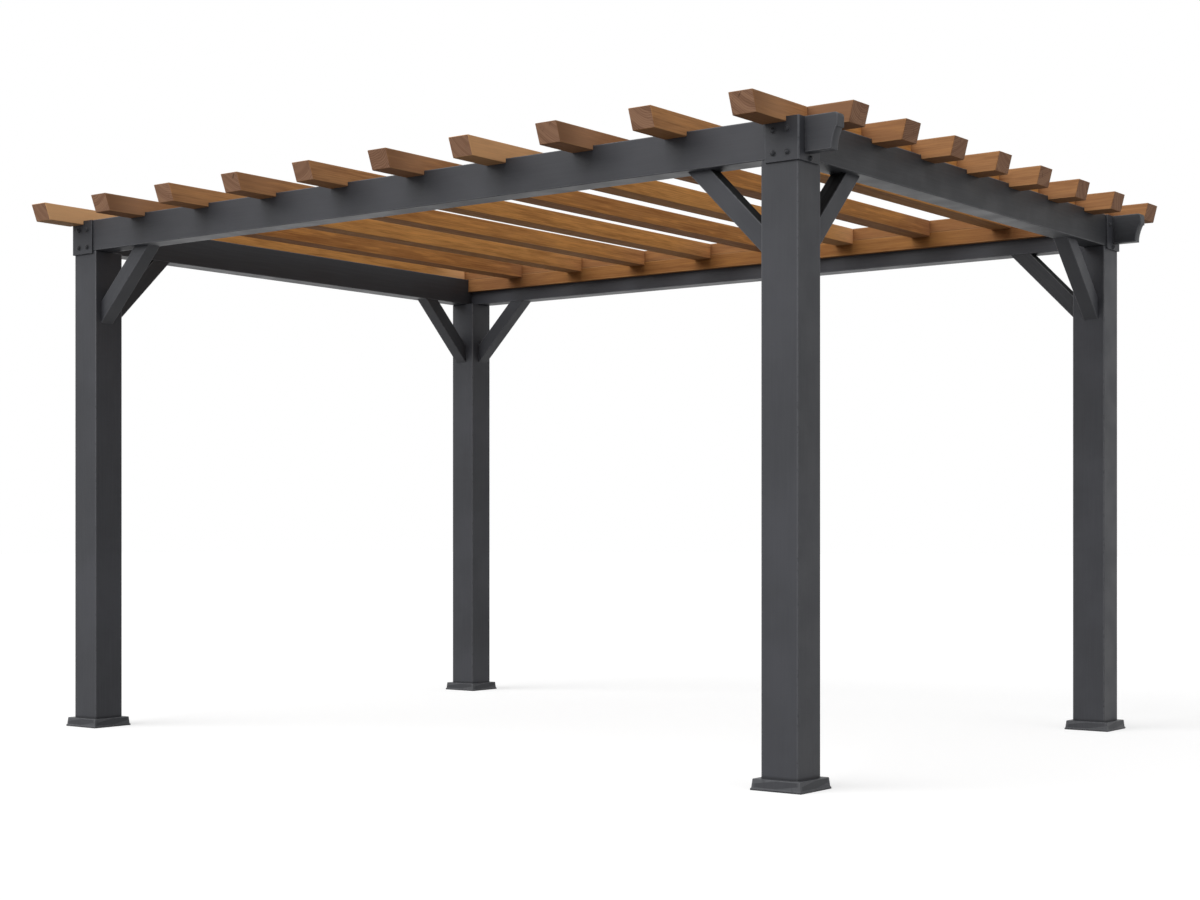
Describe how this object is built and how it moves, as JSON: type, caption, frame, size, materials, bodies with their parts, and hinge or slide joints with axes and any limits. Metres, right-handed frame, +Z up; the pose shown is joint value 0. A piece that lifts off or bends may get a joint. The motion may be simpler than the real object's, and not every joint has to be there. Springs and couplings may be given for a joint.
{
  "type": "pergola",
  "caption": "Open garden pergola: square posts with knee braces, a rectangle of beams, shaped beam ends and notched rafters with slanted tips.",
  "frame": {"origin": "on the ground, under the middle of the roof's outline", "axes": "+Z up; +X along the front beam towards the side with the shaped beam ends; +Y from the front beam to the back beam"},
  "size_m": [4.06, 3.224, 2.38],
  "materials": {
    "charcoal_timber": "charcoal paint, satin",
    "cedar": "warm brown stain",
    "bracket_steel": "charcoal paint, satin"
  },
  "bodies": {
    "root": {"post_front_left": "charcoal_timber", "post_front_right": "charcoal_timber", "post_back_left": "charcoal_timber", "post_back_right": "charcoal_timber", "base_trim_front_left": "charcoal_timber", "base_trim_front_right": "charcoal_timber", "base_trim_back_left": "charcoal_timber", "base_trim_back_right": "charcoal_timber", "corner_plate_front_left": "bracket_steel", "corner_plate_front_right": "bracket_steel", "corner_plate_back_left": "bracket_steel", "corner_plate_back_right": "bracket_steel", "beam_front": "charcoal_timber", "beam_back": "charcoal_timber", "beam_left": "charcoal_timber", "beam_right": "charcoal_timber", "beam_end_front": "charcoal_timber", "beam_end_back": "charcoal_timber", "knee_brace_front_at_left": "charcoal_timber", "knee_brace_left_at_front": "charcoal_timber", "knee_brace_front_at_right": "charcoal_timber", "knee_brace_right_at_front": "charcoal_timber", "knee_brace_back_at_left": "charcoal_timber", "knee_brace_left_at_back": "charcoal_timber", "knee_brace_back_at_right": "charcoal_timber", "knee_brace_right_at_back": "charcoal_timber", "rafter_01": "cedar", "rafter_02": "cedar", "rafter_03": "cedar", "rafter_04": "cedar", "rafter_05": "cedar", "rafter_06": "cedar", "rafter_07": "cedar", "rafter_08": "cedar", "rafter_09": "cedar", "rafter_10": "cedar", "rafter_tail_01": "cedar", "rafter_tail_02": "cedar", "rafter_tail_03": "cedar", "rafter_tail_04": "cedar", "rafter_tail_05": "cedar", "rafter_tail_06": "cedar", "rafter_tail_07": "cedar", "rafter_tail_08": "cedar", "back_ledger": "cedar", "back_blocking": "cedar"}
  },
  "joints": []
}
